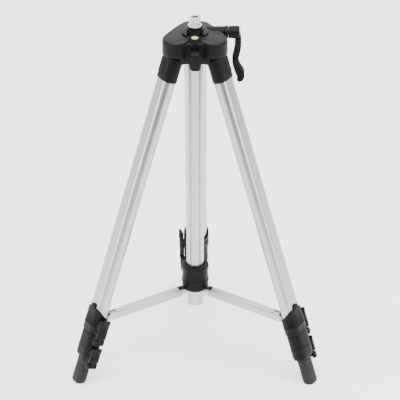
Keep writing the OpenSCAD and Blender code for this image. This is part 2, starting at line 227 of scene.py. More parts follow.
def satin_metal(name, colour, roughness, direction, grain=2600.0, depth=0.00002):
    """Anodised or brushed metal whose drawing marks run along a direction."""
    look = Look(name)
    lines = look.noise(grain, 3.0, look.drawn(direction))
    broad = look.noise(grain * 0.16, 2.0, look.drawn(direction, 0.03))
    cloud = look.noise(9.0, 2.0)
    spots = look.noise(420.0, 4.0, roughness=0.7)
    base = look.blend((lines * 0.55 + broad * 0.45 - 0.25).held(0.0, 1.0) * 1.2,
                      tint(colour, 0.93), tint(colour, 1.05))
    worn = look.blend((spots - 0.70).held(0.0, 0.2) * 1.6, base, tint(colour, 0.72))
    look.set(Base_Color=worn, Metallic=1.0,
             Roughness=(broad - 0.5) * 0.10 + (lines - 0.5) * 0.12 + (cloud - 0.5) * 0.06
             + roughness)
    look.bump(lines + broad * 0.5, depth, 0.35)
    return look.material


def plated(name, colour, roughness):
    """Bright plating with fine turning marks and light handling haze."""
    look = Look(name)
    turns = look.noise(3200.0, 2.0, look.drawn((0.0, 0.0, 1.0), 9.0))
    haze = look.noise(130.0, 4.0)
    look.set(Base_Color=look.blend(haze, tint(colour, 0.9), tint(colour, 1.08)), Metallic=1.0,
             Roughness=(haze - 0.5) * 0.16 + roughness)
    look.bump(turns, 0.00001, 0.25)
    return look.material


def rubbery(name, colour):
    """Matt rubber with a dusty bloom."""
    look = Look(name)
    pores = look.noise(900.0, 4.0)
    dust = look.noise(60.0, 5.0, roughness=0.7)
    bloom = (dust - 0.5).held(0.0, 0.4) * 1.4
    look.set(Base_Color=look.blend(bloom, colour, (0.03, 0.029, 0.028)),
             Roughness=(pores - 0.5) * 0.2 + 0.82)
    look.bump(pores, 0.00012, 0.6)
    return look.material


def liquid_look(name, colour):
    """Tinted liquid under a clear moulded window."""
    look = Look(name)
    depth = look.noise(90.0, 2.0)
    look.set(Base_Color=look.blend(depth, tint(colour, 0.9), tint(colour, 1.15)),
             Roughness=(depth - 0.5) * 0.04 + 0.08)
    look.bsdf.inputs["Coat Weight"].default_value = 1.0
    look.bsdf.inputs["Coat Roughness"].default_value = 0.03
    return look.material


def floor_look(name, colour):
    """Pale matt studio floor."""
    look = Look(name)
    cloud = look.noise(3.0, 3.0)
    look.set(Base_Color=look.blend(cloud, tint(colour, 0.985), tint(colour, 1.01)),
             Roughness=(cloud - 0.5) * 0.05 + 0.6, Emission_Color=(1.0, 1.0, 1.0))
    look.bsdf.inputs["Emission Strength"].default_value = 0.7
    return look.material


def finishes():
    """The finishes by name, made once."""
    scene = bpy.context.scene
    if "tripod_finishes" in scene:
        return {k: bpy.data.materials[v] for k, v in scene["tripod_finishes"].items()}
    c = scene.tripod_colours
    made = {
        "moulding": moulded("Moulding", tuple(c.moulding), 0.46),
        "lever": moulded("Lever", tuple(c.lever), 0.38, grain=1900.0, depth=0.00003),
        "bush": moulded("Bush", tint(tuple(c.moulding), 1.8), 0.3, depth=0.00001),
        "tube_up": satin_metal("Tube_upright", tuple(c.tube), 0.27, (0.0, 0.0, 1.0)),
        "steel": satin_metal("Steel", tuple(c.steel), 0.3, (0.0, 1.0, 0.0), grain=3400.0),
        "nickel": plated("Nickel", tuple(c.nickel), 0.2),
        "liquid": liquid_look("Level_liquid", tuple(c.liquid)),
        "rubber": rubbery("Rubber", tuple(c.rubber)),
        "floor": floor_look("Floor", tuple(c.floor)),
    }
    for leg in LEGS:
        down = leg_axes(leg).to_3x3() @ Vector((0, 0, -1))
        made[f"tube_{leg}"] = satin_metal(f"Tube_leg_{leg}", tuple(c.tube), 0.27, tuple(down))
        out = Matrix.Rotation(math.radians(LEG_TURN[leg]), 3, "Z") @ Vector((1, 0, 0))
        made[f"brace_{leg}"] = satin_metal(f"Brace_{leg}", tint(tuple(c.tube), 0.97), 0.3,
                                           tuple(out), grain=2200.0)
    scene["tripod_finishes"] = {k: m.name for k, m in made.items()}
    return made


# ---------------------------------------------------------------- mesh helpers


def turn(axis, degrees):
    return Matrix.Rotation(math.radians(degrees), 4, axis)


def shift(x, y, z):
    return Matrix.Translation((x, y, z))


def leg_axes(leg):
    """Places millimetre points given in a leg's own axes."""
    s = bpy.context.scene.tripod_sizes
    return (turn("Z", LEG_TURN[leg]) @ shift(s.pivot_radius, 0, s.pivot_height)
            @ Matrix.Rotation(-s.splay, 4, "Y"))


def arc(centre, radius, start, stop, steps):
    """Points on an arc, angles in degrees, both ends included."""
    return [(centre[0] + radius * math.cos(math.radians(start + (stop - start) * k / steps)),
             centre[1] + radius * math.sin(math.radians(start + (stop - start) * k / steps)))
            for k in range(steps + 1)]


def rounded(path, steps=4, closed=False):
    """A path of (x, y, radius) with each corner turned into an arc."""
    out = []
    count = len(path)
    for k, (x, y, radius) in enumerate(path):
        if radius <= 0 or (not closed and k in (0, count - 1)):
            out.append((x, y))
            continue
        here = Vector((x, y))
        before, after = Vector(path[k - 1][:2]) - here, Vector(path[(k + 1) % count][:2]) - here
        reach = min(before.length, after.length) * 0.49
        before.normalize()
        after.normalize()
        half = before.angle(after) / 2
        if half > math.pi / 2 - 0.02:
            out.append((x, y))
            continue
        cut = min(radius / math.tan(half), reach)
        radius = cut * math.tan(half)
        centre = here + (before + after).normalized() * (radius / math.sin(half))
        first, last = here + before * cut - centre, here + after * cut - centre
        sweep = first.angle_signed(last)
        for j in range(steps + 1):
            c, s = math.cos(-sweep * j / steps), math.sin(-sweep * j / steps)
            out.append((centre.x + first.x * c - first.y * s,
                        centre.y + first.x * s + first.y * c))
    return out


def oval_loop(off, radius, count=56):
    """Round-ended oval, long along Y. An off of nothing gives a circle."""
    loop = []
    for k in range(count):
        angle = 2 * math.pi * (k + 0.5) / count
        loop.append((radius * math.cos(angle),
                     radius * math.sin(angle) + math.copysign(off, math.sin(angle))))
    return loop


def loft(bm, loops, closed=False):
    """Skins equal loops of 3D points. Open stacks get caps; closed ones join end to start."""
    rows = [[bm.verts.new(p) for p in loop] for loop in loops]
    count = len(rows[0])
    spans = len(rows) if closed else len(rows) - 1
    for k in range(spans):
        a, b = rows[k], rows[(k + 1) % len(rows)]
        for j in range(count):
            bm.faces.new((a[j], a[(j + 1) % count], b[(j + 1) % count], b[j]))
    if not closed:
        bm.faces.new(rows[0][::-1])
        bm.faces.new(rows[-1])


def oval_body(bm, profile, off=0.0, count=56, closed=False):
    """Sweeps a (radius, height) profile round an oval or a circle."""
    loft(bm, [[(x, y, z) for x, y in oval_loop(off, r, count)] for r, z in profile], closed)


def lathe(bm, profile, steps=4, off=0.0, count=56, closed=False):
    """Sweeps a (radius, height, corner radius) profile with its corners rounded."""
    oval_body(bm, rounded(profile, steps), off, count, closed)


def prism(bm, outline, low, high, axis="Z", bevel=0.0, segments=2):
    """Extrudes an outline of 2D points. Axis Y lays the outline in X and Z."""
    def at(p, level):
        return (p[0], p[1], level) if axis == "Z" else (
            (p[0], level, p[1]) if axis == "Y" else (level, p[0], p[1]))

    part = bmesh.new()
    loft(part, [[at(p, low) for p in outline], [at(p, high) for p in outline]])
    add_part(bm, part, bevel, segments)


def box_part(bm, low, high, bevel=0.0, segments=2, place=None):
    part = bmesh.new()
    x0, y0, z0 = low
    x1, y1, z1 = high
    loft(part, [[(x0, y0, z), (x1, y0, z), (x1, y1, z), (x0, y1, z)] for z in (z0, z1)])
    if place is not None:
        bmesh.ops.transform(part, matrix=place, verts=part.verts)
    add_part(bm, part, bevel, segments)


def add_part(bm, part, bevel=0.0, segments=2, place=None):
    """Bevels a part's sharp edges and adds it to a mesh."""
    bmesh.ops.recalc_face_normals(part, faces=part.faces)
    if bevel > 0:
        sharp = [e for e in part.edges
                 if len(e.link_faces) == 2 and e.calc_face_angle(0) > math.radians(32)]
        bmesh.ops.bevel(part, geom=sharp, offset=bevel, segments=segments, affect="EDGES",
                        profile=0.5, clamp_overlap=True)
    if place is not None:
        bmesh.ops.transform(part, matrix=place, verts=part.verts)
    mesh = bpy.data.meshes.new("part")
    part.to_mesh(mesh)
    part.free()
    bm.from_mesh(mesh)
    bpy.data.meshes.remove(mesh)


def piece(name, bm, body, material, replaces=(), place=None, sharp=38):
    """Makes the finished object: metres, outward faces, smooth with its corners kept."""
    if not bm.faces:
        raise RuntimeError(f"{name} came out empty")
    bmesh.ops.remove_doubles(bm, verts=bm.verts, dist=1e-4)
    if place is not None:
        bmesh.ops.transform(bm, matrix=place, verts=bm.verts)
    bmesh.ops.scale(bm, vec=(MM, MM, MM), verts=bm.verts)
    bmesh.ops.recalc_face_normals(bm, faces=bm.faces)
    mesh = bpy.data.meshes.new(name)
    bm.to_mesh(mesh)
    bm.free()
    mesh.shade_smooth()
    mesh.set_sharp_from_angle(angle=math.radians(sharp))
    obj = bpy.data.objects.new(name, mesh)
    bpy.context.scene.collection.objects.link(obj)
    mesh.materials.append(finishes()[material])
    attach(obj, body)
    if replaces:
        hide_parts(*replaces)
    return obj


# ---------------------------------------------------------------- geometry nodes


class Tree:
    """A Geometry Nodes tree with named inputs."""

    def __init__(self, name, **inputs):
        self.group = bpy.data.node_groups.new(name, "GeometryNodeTree")
        face = self.group.interface
        face.new_socket("Geometry", in_out="OUTPUT", socket_type="NodeSocketGeometry")
        for key, value in inputs.items():
            kind = "NodeSocketInt" if isinstance(value, int) else (
                "NodeSocketVector" if isinstance(value, tuple) else (
                    "NodeSocketMaterial" if value is None else "NodeSocketFloat"))
            socket = face.new_socket(key, in_out="INPUT", socket_type=kind)
            if value is not None:
                socket.default_value = value
        self.inputs = self.group.nodes.new("NodeGroupInput")
        self.output = self.group.nodes.new("NodeGroupOutput")

    def node(self, kind, settings=None, inputs=None):
        made = self.group.nodes.new(kind)
        for key, value in (settings or {}).items():
            setattr(made, key, value)
        for key, value in (inputs or {}).items():
            if isinstance(value, bpy.types.NodeSocket):
                self.group.links.new(value, made.inputs[key])
            else:
                made.inputs[key].default_value = value
        return made

    def close(self, geometry):
        """Realizes the instances, sets the material and joins the output."""
        real = self.node("GeometryNodeRealizeInstances", {}, {0: geometry})
        coat = self.node("GeometryNodeSetMaterial", {}, {
            "Geometry": real.outputs[0], "Material": self.inputs.outputs["Material"]})
        self.group.links.new(coat.outputs[0], self.output.inputs[0])
        return self.group


def domes_tree():
    """Rivet heads: a flattened dome at each end of a pin."""
    tree = Tree("Rivet_heads", Radius=4.0 * MM, Height=1.4 * MM, Gap=14.0 * MM, Material=None)
    given = tree.inputs.outputs
    line = tree.node("GeometryNodeMeshLine", {"mode": "OFFSET"}, {"Count": 2})
    gap = tree.node("ShaderNodeCombineXYZ", {}, {"Z": given["Gap"]})
    tree.group.links.new(gap.outputs[0], line.inputs["Offset"])
    ball = tree.node("GeometryNodeMeshUVSphere", {}, {"Segments": 28, "Rings": 14,
                                                      "Radius": given["Radius"]})
    flat = tree.node("ShaderNodeMath", {"operation": "DIVIDE"},
                     {0: given["Height"], 1: given["Radius"]})
    squash = tree.node("ShaderNodeCombineXYZ", {}, {"X": 1.0, "Y": 1.0, "Z": flat.outputs[0]})
    disc = tree.node("GeometryNodeTransform", {}, {"Geometry": ball.outputs[0],
                                                   "Scale": squash.outputs[0]})
    spread = tree.node("GeometryNodeInstanceOnPoints", {},
                       {"Points": line.outputs[0], "Instance": disc.outputs[0]})
    return tree.close(spread.outputs[0])


def bars_tree():
    """A straight row of small blocks: the finger ridges of the grip, knob and levers."""
    tree = Tree("Row_of_bars", Count=5, Step=(0.0, 0.0, 2.5 * MM),
                Size=(1.0 * MM, 8.0 * MM, 1.0 * MM), Material=None)
    given = tree.inputs.outputs
    line = tree.node("GeometryNodeMeshLine", {"mode": "OFFSET"},
                     {"Count": given["Count"], "Offset": given["Step"]})
    bar = tree.node("GeometryNodeMeshCube", {}, {"Size": given["Size"], "Vertices X": 2,
                                                 "Vertices Y": 2, "Vertices Z": 2})
    spread = tree.node("GeometryNodeInstanceOnPoints", {},
                       {"Points": line.outputs[0], "Instance": bar.outputs[0]})
    return tree.close(spread.outputs[0])


def thread_tree():
    """A screw thread: a helix swept with a small rounded ridge."""
    tree = Tree("Screw_thread", Turns=4.0, Radius=7.6 * MM, Height=10.0 * MM,
                Ridge=0.75 * MM, Material=None)
    given = tree.inputs.outputs
    coil = tree.node("GeometryNodeCurveSpiral", {}, {
        "Resolution": 64, "Rotations": given["Turns"], "Start Radius": given["Radius"],
        "End Radius": given["Radius"], "Height": given["Height"]})
    ridge = tree.node("GeometryNodeCurvePrimitiveCircle", {"mode": "RADIUS"},
                      {"Resolution": 8, "Radius": given["Ridge"]})
    sweep = tree.node("GeometryNodeCurveToMesh", {}, {
        "Curve": coil.outputs[0], "Profile Curve": ridge.outputs[0], "Fill Caps": True})
    return tree.close(sweep.outputs[0])


def grown(bm, tree, values, place):
    """Runs a tree once and adds its plain mesh, in millimetres, to a mesh."""
    holder = bpy.data.objects.new("grown", bpy.data.meshes.new("grown"))
    bpy.context.scene.collection.objects.link(holder)
    modifier = holder.modifiers.new("grown", "NODES")
    modifier.node_group = tree
    for item in tree.interface.items_tree:
        if item.in_out == "INPUT" and item.name in values:
            modifier[item.identifier] = values[item.name]
    graph = bpy.context.evaluated_depsgraph_get()
    mesh = bpy.data.meshes.new_from_object(holder.evaluated_get(graph), depsgraph=graph)
    holder.modifiers.remove(modifier)
    bpy.data.objects.remove(holder)
    part = bmesh.new()
    part.from_mesh(mesh)
    bmesh.ops.scale(part, vec=(1 / MM,) * 3, verts=part.verts)
    bmesh.ops.transform(part, matrix=place, verts=part.verts)
    for face in part.faces:
        face.material_index = 0
    part.to_mesh(mesh)
    part.free()
    bm.from_mesh(mesh)
    bpy.data.meshes.remove(mesh)


# ---------------------------------------------------------------- operators


class Builder:
    """Shared base of the piece operators."""

    bl_options = {"REGISTER"}

    def execute(self, context):
        self.build(context.scene.tripod_sizes)
        return {"FINISHED"}


class TRIPOD_OT_finish_frame(Builder, bpy.types.Operator):
    """Give every piece of the frame its own finish"""

    bl_idname = "tripod.finish_frame"
    bl_label = "Finish the frame"

    def build(self, s):
        looks = finishes()
        rules = (
            (("crown", "column_cap", "column_plug", "crank_hub", "crank_arm", "lock_knob",
              "bracket", "upper_collar", "lower_collar", "hub_sleeve", "bubble_ring"), "moulding"),
            (("upper_lever", "lower_lever", "crank_grip"), "lever"),
            (("guide_bush",), "bush"),
            (("guide_tube", "column_tube"), "tube_up"),
            (("leg_pin", "hub_pin", "ear_rivet", "crank_shaft", "crank_screw", "lock_screw",
              "column_rack", "stud_flange"), "steel"),
            (("stud",), "nickel"),
            (("bubble_vial",), "liquid"),
            (("foot",), "rubber"),
        )
        for name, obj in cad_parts.items():
            found = next((look for starts, look in rules if name.startswith(starts)), None)
            if found is None:
                found = ("brace_" if name.startswith("brace") else "tube_") + name[-1]
            obj.data.materials.clear()
            obj.data.materials.append(looks[found])


def lobe_angle(angle):
    """Angle from the middle of the nearest of the crown's three lobes."""
    return (angle - math.pi / 2 + math.pi / 3) % (2 * math.pi / 3) - math.pi / 3


def trefoil(grow=0.0, count=216):
    """Outline of the crown: three lobes, full flanks at the back, a soft valley in front."""
    lobe_out, lobe_radius = 29.2, 20.0
    front_wall, valley, softness = 30.4, 24.2, 1.1
    flank, fullness = 34.5, 1.8
    loop = []
    for k in range(count):
        angle = 2 * math.pi * k / count
        a = lobe_angle(angle)
        side = lobe_out * math.sin(a)
        reach = lobe_out * math.cos(a) + math.sqrt(max(lobe_radius ** 2 - side ** 2, 0.0))
        front = math.atan2(math.cos(angle), -math.sin(angle))
        wall = front_wall / math.cos(front) if abs(front) < 0.62 else valley
        gap = (reach - wall) / softness
        reach = wall + softness * math.log1p(math.exp(gap)) if gap < 30 else reach
        for middle in (30, 150):
            off = (angle - math.radians(middle) + math.pi) % (2 * math.pi) - math.pi
            if abs(off) < 1.1 and abs(flank * math.tan(off)) <= 25.3:
                reach = (flank + fullness * math.cos(2.48 * off)) / math.cos(off)
        loop.append(Vector((reach * math.cos(angle), reach * math.sin(angle))))
    if grow:
        out = []
        for k in range(count):
            run = loop[(k + 1) % count] - loop[k - 1]
            out.append(loop[k] + Vector((run.y, -run.x)).normalized() * grow)
        loop = out
    return loop


class TRIPOD_OT_crown(Builder, bpy.types.Operator):
    """Canopy skin, the boss round the column and the crank's bearing barrel"""

    bl_idname = "tripod.crown"
    bl_label = "Crown"

    def build(self, s):
        bm = bmesh.new()
        roof, skirt, pocket, eye = 509.9, 477.0, 19.75, 18.5
        # shoulder from the wall up, then rows that draw in to the boss
        rows = []
        wall = trefoil(0.35)
        lows = []
        for p in wall:
            side = abs(p.length * math.sin(lobe_angle(math.atan2(p.y, p.x))))
            step = min(max((pocket - side) / 0.5, 0.0), 1.0)
            lows.append(skirt + 10.0 * step * step * (3 - 2 * step))
        inner = trefoil(-0.6)
        rows.append([(p.x, p.y, z + 0.05) for p, z in zip(inner, lows)])
        rows.append([(p.x, p.y, z - 0.1) for p, z in zip(trefoil(0.0), lows)])
        rows.append([(p.x, p.y, z + 0.4) for p, z in zip(wall, lows)])
        for z in (490.0, 497.0):
            rows.append([(p.x, p.y, z) for p in wall])
        for k in range(7):
            t = math.radians(90 * k / 6)
            edge = trefoil(0.35 - 4.6 * (1 - math.cos(t)))
            rows.append([(p.x, p.y, roof - 5.4 + 4.4 * math.sin(t)) for p in edge])
        edge = trefoil(-4.3)
        for k in range(1, 9):
            t = k / 8
            row = []
            for p in edge:
                q = p.lerp(p.normalized() * eye, t)
                row.append((q.x, q.y, roof - 1.0 + 2.5 * (1 - (1 - t) ** 1.7)))
            rows.append(row)
        # underside, hidden in the crown's own body
        rows.append([(p.x, p.y, 509.2) for p in (q.normalized() * eye for q in edge)])
        loft(bm, rows, closed=True)
        piece("canopy", bm, "crown", "moulding", sharp=48)

        # raised boss, open at the front where the level sits
        bm = bmesh.new()
        outer, bore, front = 19.0, 11.6, -8.4
        cut = math.degrees(math.asin(bore / outer))
        inner_cut = math.degrees(math.asin(8.0 / bore))
        outline = arc((0, 0), outer, -90 + cut, 270 - cut, 56)
        outline += [(-bore, front)]
        outline += arc((0, 0), bore, 270 - inner_cut - 1, -90 + inner_cut + 1, 40)
        outline += [(bore, front)]
        prism(bm, outline, 510.2, 514.0, bevel=0.7, segments=2)
        piece("boss", bm, "crown", "moulding", ("crown_boss",), sharp=50)

        # bearing barrel of the crank, with a collar at its mouth
        bm = bmesh.new()
        lathe(bm, [(3.3, 12, 0), (8.3, 12, 0), (8.3, 40.6, 0.4), (9.2, 41.6, 0.6),
                   (9.2, 46.5, 0.9), (3.3, 46.5, 0)], closed=True)
        piece("crank_barrel", bm, "crown", "moulding",
              place=shift(0, s.crank_back, s.crank_height) @ turn("Y", 90))


class TRIPOD_OT_level(Builder, bpy.types.Operator):
    """Round bubble level: bezel, domed window and aiming ring"""

    bl_idname = "tripod.level"
    bl_label = "Bubble level"

    def build(self, s):
        at = shift(0, -21.5, 0)
        bm = bmesh.new()
        lathe(bm, [(8.7, 508.0, 0), (8.3, 511.6, 0.6), (7.7, 512.4, 0.4), (7.5, 513.9, 0.5),
                   (5.35, 513.9, 0.4), (5.1, 512.6, 0), (5.1, 508.0, 0)], closed=True)
        piece("level_bezel", bm, "crown", "moulding", ("bubble_ring",), at)
        bm = bmesh.new()
        oval_body(bm, [(5.05, 508), (5.05, 512.9), (4.9, 513.3), (4.4, 513.9), (3.4, 514.4),
                       (1.8, 514.7), (0.3, 514.75)])
        piece("level_window", bm, "crown", "liquid", ("bubble_vial",), at)
        bm = bmesh.new()
        oval_body(bm, [(3.05, 514.45), (3.1, 514.62), (2.75, 514.66), (2.7, 514.5)], closed=True)
        piece("level_mark", bm, "crown", "lever", place=at)


class TRIPOD_OT_column(Builder, bpy.types.Operator):
    """Column cap, steel flange and the fluted, threaded stud"""

    bl_idname = "tripod.column"
    bl_label = "Column top"

    def build(self, s):
        bm = bmesh.new()
        lathe(bm, [(8.6, 503, 0), (8.6, 514.9, 0), (11, 514.9, 0.5), (11, 516.6, 0.3),
                   (10.4, 517.2, 0.3), (10.4, 520.2, 0.4), (11, 520.8, 0.3), (11, 521.9, 0.5),
                   (0.2, 521.95, 0)])
        piece("column_neck", bm, "column", "moulding", ("column_cap",))
        bm = bmesh.new()
        lathe(bm, [(0.2, 521.9, 0), (9.3, 521.9, 0.2), (9.75, 522.3, 0.2), (9.75, 523.8, 0.5),
                   (0.2, 524.25, 0)], count=72)
        piece("stud_washer", bm, "column", "steel", ("stud_flange",))

        # fluted body: the radius dips at each groove, the foot of each groove is scalloped
        bm = bmesh.new()
        flutes, count = s.stud_flutes, 288
        levels = [(523.9, 0.0), (524.6, 0.0), (525.4, 0.55), (526.2, 1.0), (533.6, 1.0),
                  (534.3, 0.85), (534.9, 0.45), (535.3, 0.0)]
        rows = []
        for z, share in levels:
            row = []
            for k in range(count):
                a = 2 * math.pi * k / count
                dip = max(0.0, math.cos(a * flutes + math.pi)) ** 1.3
                r = 7.75 - 1.25 * share * dip
                row.append((r * math.cos(a), r * math.sin(a), z))
            rows.append(row)
        for r, z in ((7.5, 535.9), (7.1, 536.35), (6.2, 536.4), (5.6, 536.2), (4.9, 535.3),
                     (4.76, 534.6), (4.76, 528.6), (0.2, 528.4)):
            rows.append([(r * math.cos(2 * math.pi * k / count),
                          r * math.sin(2 * math.pi * k / count), z) for k in range(count)])
        loft(bm, rows)
        grown(bm, thread_tree(), {"Turns": 3.9, "Radius": 7.2 * MM, "Height": 8.3 * MM,
                                  "Ridge": 0.42 * MM, "Material": finishes()["nickel"]},
              shift(0, 0, 525.7))
        piece("threaded_stud", bm, "column", "nickel", ("stud",), sharp=50)


class TRIPOD_OT_crank(Builder, bpy.types.Operator):
    """Crank hub, curved forked arm, screw and folding grip"""

    bl_idname = "tripod.crank"
    bl_label = "Crank"

    def build(self, s):
        axis = shift(0, s.crank_back, s.crank_height) @ turn("Y", 90)
        bm = bmesh.new()
        lathe(bm, [(3.05, 46.6, 0), (7.6, 46.6, 0), (7.6, 47.2, 0), (9.0, 47.4, 0.4),
                   (9.0, 50.2, 0.2), (8.7, 50.6, 0.2), (8.7, 51.4, 0.2), (9.0, 51.8, 0.2),
                   (9.0, 61.2, 1.2), (7.4, 62.4, 0.6), (3.05, 62.4, 0)], closed=True)
        piece("crank_boss", bm, "crank", "moulding", ("crank_hub",), axis)

        bm = bmesh.new()
        lathe(bm, [(0.1, 58, 0), (1.6, 58, 0), (1.6, 62.4, 0), (3.4, 62.4, 0.1), (3.4, 63.2, 0.5),
                   (2.6, 64.0, 0.3), (1.5, 64.0, 0.1), (1.3, 63.1, 0.1), (0.1, 63.0, 0)], count=40)
        piece("crank_bolt", bm, "crank", "steel", ("crank_screw",), axis)

        # arm: a solid upper part and, from the split down, two tines that hold the grip
        half, thick, tine, split = 4.5, 14, 2.3, 20
        line = [(60, 499.5), (60.4, 491), (60, 483), (58.2, 474), (56.6, 466), (57.4, 458),
                (60.6, 450.5), (64, 445), (65.8, 440.4)]
        smooth = []
        for k in range(len(line) - 1):
            p0, p1 = Vector(line[max(k - 1, 0)]), Vector(line[k])
            p2, p3 = Vector(line[k + 1]), Vector(line[min(k + 2, len(line) - 1)])
            for j in range(5):
                t = j / 5
                smooth.append(0.5 * (2 * p1 + (p2 - p0) * t
                                     + (2 * p0 - 5 * p1 + 4 * p2 - p3) * t * t
                                     + (3 * p1 - p0 - 3 * p2 + p3) * t ** 3))
        smooth.append(Vector(line[-1]))
        left, right = [], []
        for k, p in enumerate(smooth):
            run = (smooth[min(k + 1, len(smooth) - 1)] - smooth[max(k - 1, 0)]).normalized()
            left.append(p + half * Vector((run.y, -run.x)))
            right.append(p - half * Vector((run.y, -run.x)))
        tip = [(69.4, 436.8), (68.0, 433.4), (65.6, 431.0), (62.6, 430.0), (59.8, 431.2),
               (58.8, 434.0), (59.2, 438.0)]
        bm = bmesh.new()
        y0 = s.crank_back - thick / 2
        upper = [tuple(p) for p in left[:split + 1]] + [tuple(p) for p in right[split::-1]]
        prism(bm, upper, y0, y0 + thick, "Y", 1.3, 3)
        # the tangent sides swap over below, so the lower outline is ordered by side
        outer, inner = (right, left) if right[-1].x > left[-1].x else (left, right)
        lower = ([tuple(p) for p in outer[split - 2:-1]] + tip
                 + [tuple(p) for p in inner[-4:split - 3:-1]])
        for y in (y0, y0 + thick - tine):
            prism(bm, lower, y, y + tine, "Y", 0.6, 2)
        piece("crank_lever_arm", bm, "crank", "moulding", ("crank_arm",))

        # grip: waisted bar on a through pin
        bm = bmesh.new()
        pivot, end = Vector((63, 434)), Vector((56.6, 455))
        length = (end - pivot).length
        lathe(bm, [(0.2, -3.9, 0), (2.6, -3.6, 1.0), (3.7, -1.6, 1.4), (3.3, 6, 3), (3.4, 12, 3),
                   (3.95, 18, 2), (3.7, length - 0.4, 1.5), (2.2, length, 0.6), (0.2, length, 0)],
                   5, count=32)
        bmesh.ops.scale(bm, vec=(1, 1.08, 1), verts=bm.verts)
        grown(bm, bars_tree(), {"Count": 5, "Step": (0.0, 0.0, 2.4 * MM),
                                "Size": (7.4 * MM, 5.0 * MM, 0.9 * MM),
                                "Material": finishes()["lever"]}, shift(0, 0, 8))
        tilt = math.degrees(math.atan2(end.x - pivot.x, end.y - pivot.y))
        piece("crank_handle", bm, "grip", "lever", ("crank_grip",),
              shift(pivot.x, s.crank_back, pivot.y) @ turn("Y", tilt))
        bm = bmesh.new()
        lathe(bm, [(0.1, -7.5, 0), (2.0, -7.5, 0.5), (2.0, -7.0, 0), (1.4, -7.0, 0), (1.4, 7.0, 0),
                   (2.0, 7.0, 0), (2.0, 7.5, 0.5), (0.1, 7.5, 0)], 3, count=28)
        piece("crank_pin", bm, "crank", "lever",
              place=shift(pivot.x, s.crank_back, pivot.y) @ turn("X", 90))


class TRIPOD_OT_knob(Builder, bpy.types.Operator):
    """Hanging paddle knob that locks the column"""

    bl_idname = "tripod.knob"
    bl_label = "Column lock"

    def build(self, s):
        bm = bmesh.new()
        place = shift(0, 0, s.pivot_height)
        # the boss behind, ringed
        part = bmesh.new()
        lathe(part, [(3.05, 24.4, 0), (6.9, 24.4, 0.5), (7.4, 25.0, 0.4), (7.4, 29, 0.2),
                     (7.0, 29.4, 0.2), (7.0, 30.2, 0.2), (7.4, 30.6, 0.2), (7.4, 36.6, 0),
                     (3.05, 36.6, 0)], 3, closed=True)
        add_part(bm, part, place=turn("X", 90))
        outline = rounded([(-6.3, 2.2, 0), (-6.3, 8.0, 3.2), (8.2, 8.0, 3.2), (8.2, 0, 3),
                           (8.0, -9.5, 4), (7.2, -17.2, 6), (-5.2, -17.2, 6), (-6.2, -9.5, 4),
                           (-6.3, 0, 3)], 6, closed=True)
        prism(bm, outline, -50.2, -34.6, "Y", 1.6, 3)
        # finger flutes down both sides
        grown(bm, bars_tree(), {"Count": 5, "Step": (0.0, 2.3 * MM, 0.0),
                                "Size": (15.0 * MM, 0.9 * MM, 9.0 * MM),
                                "Material": finishes()["moulding"]}, shift(0.9, -47.8, -4.6))
        piece("lock_paddle", bm, "knob", "moulding", ("lock_knob",), place)


class TRIPOD_OT_brackets(Builder, bpy.types.Operator):
    """Ribbed brackets that hold the leg tubes and turn on the crown's pins"""

    bl_idname = "tripod.brackets"
    bl_label = "Leg brackets"

    def build(self, s):
        for leg in LEGS:
            bm = bmesh.new()
            # shell round the tube, soft at both rims
            lathe(bm, [(9.9, -44.6, 0), (10.9, -44.6, 0.4), (11.35, -43.4, 0.6),
                       (11.35, -38.8, 0.3), (11.1, -38.2, 0.3), (11.3, -10.2, 1.6),
                       (9.9, -10.0, 0)], 4, TUBE_OFF, 72, closed=True)
            oval_body(bm, [(0.4, -21.9), (9.95, -21.9), (9.95, -10.1), (8.8, -9.9), (0.4, -9.9)],
                      TUBE_OFF, 72)
            # knuckle on the pin
            part = bmesh.new()
            lathe(part, [(2.6, -8.5, 0), (7.4, -8.5, 0.4), (8.0, -7.9, 0.4), (8.0, 7.9, 0.4),
                         (7.4, 8.5, 0.4), (2.6, 8.5, 0)], 3, closed=True, count=48)
            add_part(bm, part, place=turn("X", 90))
            box_part(bm, (-7.6, -8.4, -12), (7.6, 8.4, -2.6), 0.5)
            # upright ribs round the outer half
            for k in range(9):
                swing = math.radians(-80 + 20 * k)
                side = math.copysign(TUBE_OFF, swing) if abs(swing) > 0.01 else 0.0
                part = bmesh.new()
                oval_body(part, [(0.05, -37.9), (0.5, -37.4), (0.75, -36.4), (0.75, -16.4),
                                 (0.5, -15.2), (0.05, -14.8)], 0, 12)
                add_part(bm, part, place=shift(11.05 * math.cos(swing),
                                               11.05 * math.sin(swing) + side, 0))
            piece(f"leg_bracket_{leg}", bm, f"leg_{leg}", "moulding",
                  (f"bracket_{leg}",), leg_axes(leg), sharp=44)


